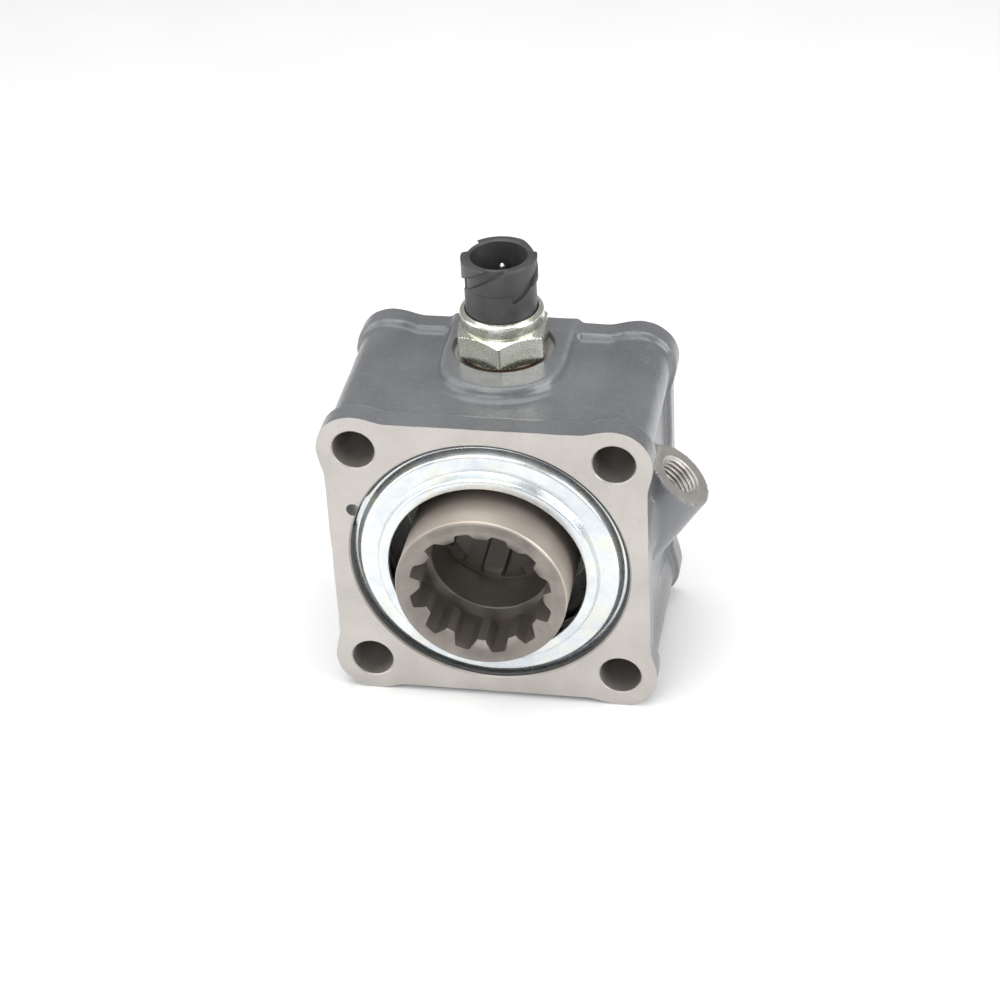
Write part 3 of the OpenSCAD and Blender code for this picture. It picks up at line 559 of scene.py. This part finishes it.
def cast_blank():
    """The casting as a mesh, cut back to the planes of its two machined faces."""
    step = 0.75
    lo, hi = np.array([-53.1, -3.2, -53.1]), np.array([70.2, 67.4, 54.5])
    axes = [np.arange(a, b, step) for a, b in zip(lo, hi)]
    field = casting_field(*np.meshgrid(*[a.astype(np.float32) for a in axes], indexing="ij"))
    verts, quads = surface_nets(field, lo, step)
    for _ in range(3):
        d = casting_field(*verts.T)
        g = slope(verts, 0.02)
        verts -= np.clip(d, -0.4, 0.4)[:, None] * g / np.maximum((g * g).sum(1), 0.2)[:, None]
    obj = make_object("housing_casting", verts, quads)
    cut(obj, box_solid("tool", (-60, -10, -60), (75, 0, 60)))
    cut(obj, box_solid("tool", (-60, REAR_Y, -60), (75, 80, 60)))
    return obj


def cut_shaft_bore(obj):
    groove_r = 45.05
    bore = [
        (FRONT_BORE_R + 1, -1.0), (FRONT_BORE_R + 0.5, 0.0), (FRONT_BORE_R, 0.5), (FRONT_BORE_R, 0.6),
        (groove_r, 0.62), (groove_r, 2.65), (FRONT_BORE_R, 2.66), (FRONT_BORE_R, 24.25),
        (SKIRT_BORE_R, 24.26), (SKIRT_BORE_R, 56.5),
        (PILOT_R, 56.51), (PILOT_R, REAR_Y - 0.5), (PILOT_R + 0.5, REAR_Y), (PILOT_R + 1.5, REAR_Y + 1),
    ]
    cut(obj, lathe_solid("tool", bore, n=256))


def cut_bolt_holes(obj):
    mouth_r, edge = 7.0, 0.4
    hole = [
        (mouth_r + 1, -1.0), (mouth_r, 0.0), (BOLT_R, edge),
        (BOLT_R, REAR_Y - edge), (mouth_r, REAR_Y), (mouth_r + 1, REAR_Y + 1),
    ]
    for sx in (-BOLT_AT, BOLT_AT):
        for sz in (-BOLT_AT, BOLT_AT):
            cut(obj, lathe_solid("tool", hole, beside_shaft(sx, sz), n=64))


def cut_pry_notch(obj):
    cut(obj, lathe_solid("tool", [(2.2, -1.0), (2.2, 2.64)], beside_shaft(-41.8, 17.7), n=32))


def cut_switch_hole(obj):
    up = on_upright(*SWITCH)
    seat = [(SEAT_R, SEAT_Z), (SEAT_R, SEAT_Z + 2), (SEAT_R + 0.5, SEAT_Z + 2.5), (SEAT_R + 1, SEAT_Z + 3)]
    cut(obj, lathe_solid("tool", seat, up, n=96))
    cut(obj, lathe_solid("tool", [(9.0, 43.0), (9.0, 60.0)], up, n=64))
    cut(obj, lathe_solid("tool", [(5.9, 33.0), (5.9, 50.0)], up, n=48))


def on_port(r, a, t):
    """Places (radius, angle, distance) round the axis of the air port."""
    return tuple(PORT + PORT_N * t + r * (math.cos(a) * PORT_U + math.sin(a) * PORT_V))


def cut_air_port(obj):
    """The threaded port with its broken mouth, and the drilled way behind it."""
    n = 72
    minor_r, crest = 6.2, 0.78
    depths = list(np.arange(-11.8, -0.3, THREAD_PITCH / 8)) + [-0.25]
    rings = [turn_ring(on_port, minor_r - 0.05, -12.2, n)]
    for t in depths:
        mouth_r = 7.0 + (t + 0.5) if t > -0.5 else 0
        run_in = min(1, (t + 11.9) / 0.8)
        ring = []
        for k in range(n):
            phase = (t / THREAD_PITCH - k / n) % 1.0
            r = minor_r + crest * (1 - abs(2 * phase - 1)) * run_in
            ring.append(on_port(max(r, mouth_r), 2 * math.pi * k / n, t))
        rings.append(ring)
    rings.append(turn_ring(on_port, 7.8, 0.3, n))
    cut(obj, loft("tool", rings))
    cut(obj, lathe_solid("tool", [(2.0, -26.0), (2.0, -15.3), (6.0, -12.1)], on_port, n=32))


def mark_edges(mesh):
    """Writes how far each point stands out of its surroundings, for the wear of the paint."""
    co = np.empty(len(mesh.vertices) * 3)
    mesh.vertices.foreach_get("co", co)
    co = co.reshape(-1, 3) / MM
    e = 0.9
    around = 0
    for axis in np.eye(3):
        around = around + (casting_field(*(co + e * axis).T) + casting_field(*(co - e * axis).T))
    bend = around - 6 * casting_field(*co.T)
    edge = mesh.attributes.new("edge", "FLOAT", "POINT")
    edge.data.foreach_set("value", np.clip(bend / 1.2, 0, 1).astype(np.float32))


def choose_surfaces(mesh):
    """Sets the material of each face: 0 paint, 1 milled, 2 bored, 3 drilled."""
    faces = len(mesh.polygons)
    mid, nor = np.empty(faces * 3), np.empty(faces * 3)
    mesh.polygons.foreach_get("center", mid)
    mesh.polygons.foreach_get("normal", nor)
    mid, nor = mid.reshape(-1, 3) / MM, nor.reshape(-1, 3)
    between = (mid[:, 1] > 0.01) & (mid[:, 1] < REAR_Y - 0.01)
    shaft = np.hypot(mid[:, 0], mid[:, 2])
    bolt = np.hypot(np.abs(mid[:, 0]) - BOLT_AT, np.abs(mid[:, 2]) - BOLT_AT)
    seat = np.hypot(mid[:, 0] - SWITCH[0], mid[:, 1] - SWITCH[1])
    rel = mid - PORT
    t = rel @ PORT_N
    rho = np.hypot(rel @ PORT_U, rel @ PORT_V)
    index = np.zeros(faces, np.int32)
    index[(mid[:, 1] < 0.01) | (mid[:, 1] > REAR_Y - 0.01)] = 1
    index[(shaft < 45.3) & between] = 2
    index[(bolt < 7.3) & between] = 3
    index[(rho < 7.9) & (t < -0.05) & (t > -26)] = 3
    index[(rho < 11.9) & (nor @ PORT_N > 0.9) & (t > -0.6) & (t < 0.2)] = 1
    index[(seat < SEAT_R - 0.1) & (mid[:, 2] > 30)] = 3
    mesh.polygons.foreach_set("material_index", index)
    mesh.update()


def build_housing():
    obj = cast_blank()
    for machine in (cut_shaft_bore, cut_bolt_holes, cut_pry_notch, cut_switch_hole, cut_air_port):
        machine(obj)
    polish(obj, 34)
    mark_edges(obj.data)
    obj.data.materials.clear()
    for mat in (PAINT, FACE, BORE, DRILLED):
        obj.data.materials.append(mat)
    choose_surfaces(obj.data)
    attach(obj, "housing")
    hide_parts("housing")


build_housing()

# Cover, wire ring and hub

RIM_R = FRONT_BORE_R - 0.3
cover = rounded([
    (RIM_R, 2.65, 0.25), (41.9, 2.65, 0.6), (40.45, -0.3, 1.2), (34.9, -0.3, 0.9),
    (34.3, -3.9, 1.2), (31.0, -3.9, 0.3), (31.0, -2.2, 0.3), (32.6, -2.2, 0.5),
    (32.9, 1.4, 1.2), (38.7, 1.4, 0.8), (39.7, 4.35, 0.9), (RIM_R, 4.35, 0.25),
], 5)
dress(lathe_ring("cover_plate", cover, n=256), "housing", ZINC, "zinc_sheet", "front_cover")


def build_wire_ring():
    """An open ring of round wire, with rounded ends."""
    start, sweep, n, m = math.radians(165.5), math.radians(344), 220, 12
    ring_r, ring_y, wire_r = 43.95, 1.6, 0.98
    end_sizes = (0.55, 0.85, 0.96)
    rings = []
    for k in range(n + 1):
        a = start + sweep * k / n
        end = min(k, n - k)
        w = wire_r * (1 if end >= len(end_sizes) else end_sizes[end])
        ring = []
        for i in range(m):
            b = 2 * math.pi * i / m
            ring.append(on_shaft(ring_r + w * math.cos(b), a, ring_y + w * math.sin(b)))
        rings.append(ring)
    return loft("wire_ring", rings, 50)


dress(build_wire_ring(), "housing", WIRE, "dark_wire", "cover_wire_ring")


def spline_outline(spaces, root, tip, half_root, half_tip, phase, corner):
    """Closed outline of a splined bore: tapered or parallel spaces between round teeth."""
    pts = []
    pitch = 2 * math.pi / spaces
    root_turn, tip_turn = math.asin(half_root / root), math.asin(half_tip / tip)
    for k in range(spaces):
        mid = phase + pitch * k
        for turn, r, soft in (
                (-tip_turn, tip, 0), (-root_turn, root, corner), (-root_turn / 2, root, 0), (0, root, 0),
                (root_turn / 2, root, 0), (root_turn, root, corner), (tip_turn, tip, 0)):
            pts.append((r * math.cos(mid + turn), r * math.sin(mid + turn), soft))
        land = pitch - 2 * tip_turn
        for i in range(1, 5):
            a = mid + tip_turn + land * i / 5
            pts.append((tip * math.cos(a), tip * math.sin(a), 0))
    return rounded(pts, 4)


def build_hub():
    """The coupling hub: a lead-in cone and twelve spline spaces, a relief, a bore and eight pump slots."""
    seat_r, groove_r, bore_r = 22.48, 21.3, 15.0
    body = rounded([
        (bore_r, HUB_FRONT_Y), (24.1, HUB_FRONT_Y, 0.25), (26.1, -15.3, 0.5), (HUB_R, -14.3, 0.6),
        (HUB_R, 25.8, 0.2), (25.3, 27.85, 0.2), (seat_r, 27.85), (seat_r, 39.85), (groove_r, 39.86),
        (groove_r, 41.6), (seat_r, 41.61), (seat_r, HUB_REAR_Y - 1, 0.3), (seat_r - 1, HUB_REAR_Y, 0.3),
        (bore_r, HUB_REAR_Y),
    ], 4)
    obj = lathe_ring("splined_hub", body, n=256)
    outline = spline_outline(12, 22.3, 19.2, 2.2, 3.7, SPLINE_PHASE, 0.7)
    cut(obj, loft("tool", [[(x, y, z) for x, z in outline] for y in (-17.0, -1.0)]))
    lead_in = [(25.9, -17.05), (23.8, HUB_FRONT_Y), (19.85, -14.02), (19.1, -13.1)]
    cut(obj, lathe_solid("tool", lead_in, n=192))
    relief = [(21.6, -2.0), (22.6, -1.8), (22.6, 2.5), (19.3, 3.3), (19.0, 3.65), (19.0, 19.0)]
    cut(obj, lathe_solid("tool", relief, n=192))
    rings = []
    for y, grow in ((18.0, 1.4), (19.0, 1.0), (20.2, 0.0), (53.2, 0.0), (54.4, 1.2)):
        half = 3.0 + grow
        outline = spline_outline(8, 18.0 + grow * 0.3, 16.0 + grow, half, half, SPLINE_PHASE, 0.35)
        rings.append([(x, y, z) for x, z in outline])
    cut(obj, loft("tool", rings))
    return polish(obj, 30)


dress(build_hub(), "hub", HUB, "hub_steel", "coupling_hub")

# Indicator switch

UP = on_upright(*SWITCH)


def build_switch_body():
    """The hexagon with its bevels, the rolled collar above it and the shank below it, as one loft."""
    n = 360
    half_flats = 13.5
    turn = math.radians(4.3 - 90)
    corner_r = half_flats / math.cos(math.pi / 6) - 0.25

    def hex_r(a):
        b = (a - turn + math.pi / 6) % (math.pi / 3) - math.pi / 6
        return min(half_flats / math.cos(math.pi / 6 - abs(b)), corner_r)

    shank = ((5.4, 40.92), (5.8, 41.3), (5.8, 43.1), (8.1, 43.12), (8.9, 43.9), (8.9, 50.88))
    rings = [turn_ring(UP, r, z, n, turn) for r, z in shank]
    levels = (
        HEX_Z, 51.05, 51.3, 51.6, 52.0, 52.6, 54.2, 56.0, 57.8,
        58.7, 59.1, 59.35, 59.6, 59.8, 60.0, 60.2, 60.4, COLLAR_Z)
    for z in levels:
        bevel_r = min(13.1 + (z - HEX_Z) * 2.2, 12.95 + (COLLAR_Z - z) * 1.75)
        angles = [2 * math.pi * k / n + turn for k in range(n)]
        rings.append([UP(min(hex_r(a), bevel_r), a, z) for a in angles])
    collar = rounded([
        (12.75, COLLAR_Z), (12.75, 61.0, 0.2), (13.2, 61.5, 0.4), (13.2, 65.2, 0.9),
        (11.6, 66.0, 0.3), (11.35, 65.6, 0.1), (11.35, 63.5),
    ], 5)
    rings += [turn_ring(UP, r, z, n, turn) for r, z in collar]
    obj = loft("switch_hexagon", rings, 24)
    well = [(4.1, 40.0), (4.1, 57.0), (11.28, 57.5), (11.28, 66.5)]
    cut(obj, lathe_solid("tool", well, UP, n=96))
    return polish(obj, 24)


dress(build_switch_body(), "housing", PLATED, "switch_plating", "switch_body")

washer = rounded([(9.1, 49.42, 0.1), (13.1, 49.42, 0.5), (13.1, 50.88, 0.5), (9.1, 50.88, 0.1)], 4)
dress(
    lathe_ring("sealing_washer", washer, UP, 128), "housing", COPPER, "washer_metal", "switch_sealing_washer")


def smooth(x, a, b):
    """0 below a, 1 above b and a soft step between."""
    t = min(1, max(0, (x - a) / (b - a)))
    return t * t * (3 - 2 * t)


def socket_radius(a, z):
    """Outer radius of the moulded socket at an angle and height, with its three bayonet grooves."""
    head_r, groove_r, helix = 11.6, 10.15, math.radians(32)
    r = SOCKET_R + 0.65 * smooth(z, 75.4, 75.8)
    for k in range(3):
        d = (a - math.radians(120 * k) + math.pi) % (2 * math.pi) - math.pi
        if abs(d) > math.radians(70):
            continue
        mid = 79.9 + math.tan(helix) * 11.0 * math.sin(d)
        across = (abs(z - mid) * math.cos(helix))
        deep = 1 - smooth(across, 1.45, 1.75)
        deep *= smooth(head_r * math.cos(d), 5.7, 6.1)
        r = min(r, groove_r + (r - groove_r) * (1 - deep))
    return r


def build_socket():
    """The bayonet socket as one loft up its outside, over its rim and down into its well."""
    n, plain_top, rim_z = 360, 71, 83.7
    angles = [2 * math.pi * k / n for k in range(n)]
    levels = [57.85] + list(np.arange(65.0, 71.4, 0.8)) + list(np.arange(71.4, rim_z, 0.14))
    rings = []
    for z in levels:
        rings.append([UP(SOCKET_R if z < plain_top else socket_radius(a, z), a, z) for a in angles])
    for drop, z in ((0.08, 83.8), (0.22, 83.93), (0.45, SOCKET_TOP_Z)):
        rings.append([UP(socket_radius(a, rim_z) - drop, a, z) for a in angles])
    well = rounded([(9.2, SOCKET_TOP_Z), (8.8, rim_z, 0.25), (8.8, 71.0, 0.4), (1.0, 71.0)], 4)
    rings += [turn_ring(UP, r, z, n) for r, z in well]
    obj = loft("bayonet_socket", rings, 40)
    for offset in PIN_OFFSETS:
        up = on_upright(SWITCH[0], SWITCH[1] + offset)
        cut(obj, lathe_solid("tool", [(1.27, 60.0), (1.27, 72.0)], up, n=32))
    return polish(obj, 40)


dress(build_socket(), "housing", PLASTIC, "socket_plastic", "switch_socket")

PIN_PROFILE = [(1.25, 60.2), (1.25, 77.0), (1.15, 77.5), (0.95, 77.95), (0.65, 78.3), (0.25, 78.48)]
for number, offset in enumerate(PIN_OFFSETS, 1):
    up = on_upright(SWITCH[0], SWITCH[1] + offset)
    pin = lathe_solid("contact_pin_%d" % number, PIN_PROFILE, up, 48, 60)
    dress(pin, "housing", PIN, "pin_metal", *(["switch_pins"] if number == 1 else []))

# Hidden pieces keep their own solids

INNER = {
    "return_spring": SPRING, "piston": ALU, "land_seal_ring": RUBBER, "skirt_seal_ring": RUBBER,
    "hub_retaining_ring": BLACK, "bearing_inner_ring": GROUND, "bearing_outer_ring": GROUND,
    "bearing_balls": GROUND,
    "bearing_cage": BRASS, "bearing_front_shield": SHIELD, "bearing_rear_shield": SHIELD,
    "bearing_retaining_ring": BLACK, "shaft_seal": RUBBER, "seal_garter_spring": SPRING,
    "switch_ball": GROUND, "switch_plunger": BRASS, "switch_spring": SPRING,
}
for name, mat in INNER.items():
    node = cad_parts[name]
    node.data.materials.clear()
    node.data.materials.append(mat)
    shade(node.data, 30)

# Floor, light and camera


def build_floor():
    """A wide pale sheet with a grid that is finest under the part, and the faintest waves."""
    n = 24
    reach = np.linspace(-1, 1, n + 1)
    verts = []
    for v in reach:
        for u in reach:
            z = FLOOR_Z + 0.02 * math.sin(9 * u) * math.cos(7 * v)
            verts.append((1600 * u * abs(u) + 5, 1600 * v * abs(v) + 30, z))
    faces = []
    for j in range(n):
        for i in range(n):
            near, far = j * (n + 1) + i, (j + 1) * (n + 1) + i
            faces.append((near, near + 1, far + 1, far))
    floor = make_object("studio_floor", verts, faces)
    m = Nodes("studio_floor")
    cloud = m.ramp(m.noise(14, 3, 0.5), (0.3, 0.0), (0.7, 1.0))
    colour = m.mix(cloud, (0.93, 0.93, 0.935), (0.96, 0.96, 0.96))
    normal = m.bump(m.noise(300, 2, 0.5), 0.00005, 0.2)
    floor.data.materials.append(m.finish(colour, 0.55, 0.0, normal, spec=0.3))


build_floor()


def soft_light(name, place, aim, size, power):
    """A rectangular lamp at a place in millimetres, with its sides in metres and its power in watts."""
    data = bpy.data.lights.new(name, "AREA")
    data.shape = "RECTANGLE"
    data.size, data.size_y = size
    data.energy = power
    obj = bpy.data.objects.new(name, data)
    bpy.context.scene.collection.objects.link(obj)
    obj.location = [c * MM for c in place]
    obj.rotation_mode = "QUATERNION"
    obj.rotation_quaternion = (Vector(aim) - Vector(place)).to_track_quat("-Z", "Y")


soft_light("top_softbox", (-60, 40, 950), (0, 20, 0), (1.1, 1.0), 7.5)
soft_light("left_softbox", (-820, -260, 330), (0, 20, 0), (0.6, 0.7), 3.0)
soft_light("right_softbox", (820, -200, 420), (0, 20, 0), (0.6, 0.6), 5.4)
soft_light("front_softbox", (-260, -800, 640), (0, 0, 0), (0.7, 0.5), 3.4)

world = bpy.data.worlds.new("studio")
bpy.context.scene.world = world
world.use_nodes = True
world.node_tree.nodes["Background"].inputs[0].default_value = (1.0, 1.0, 1.0, 1)
world.node_tree.nodes["Background"].inputs[1].default_value = 0.36

scene = bpy.context.scene
scene.view_settings.view_transform = "Standard"
scene.view_settings.look = "None"
scene.view_settings.exposure = 0.0
scene.view_settings.gamma = 1.0



def build_camera():
    """The camera that was fitted to the photo, with its target and distance in millimetres."""
    az, el, roll = math.radians(12.10), math.radians(34.65), math.radians(-3.44)
    target, distance = Vector((4.69, 0, 24.89)), 818.97
    data = bpy.data.cameras.new("photo_camera")
    data.lens = 97.0
    data.sensor_width = 36.0
    data.clip_start = 0.05
    data.clip_end = 20
    camera = bpy.data.objects.new("photo_camera", data)
    scene.collection.objects.link(camera)
    back = Vector((math.sin(az) * math.cos(el), -math.cos(az) * math.cos(el), math.sin(el)))
    level = (-back).cross(Vector((0, 0, 1))).normalized()
    above = level.cross(-back).normalized()
    right = level * math.cos(roll) + above * math.sin(roll)
    up = above * math.cos(roll) - level * math.sin(roll)
    place = target * MM + back * distance * MM
    camera.matrix_world = Matrix((
        (right.x, up.x, back.x, place.x),
        (right.y, up.y, back.y, place.y),
        (right.z, up.z, back.z, place.z),
        (0, 0, 0, 1)))
    scene.camera = camera


build_camera()
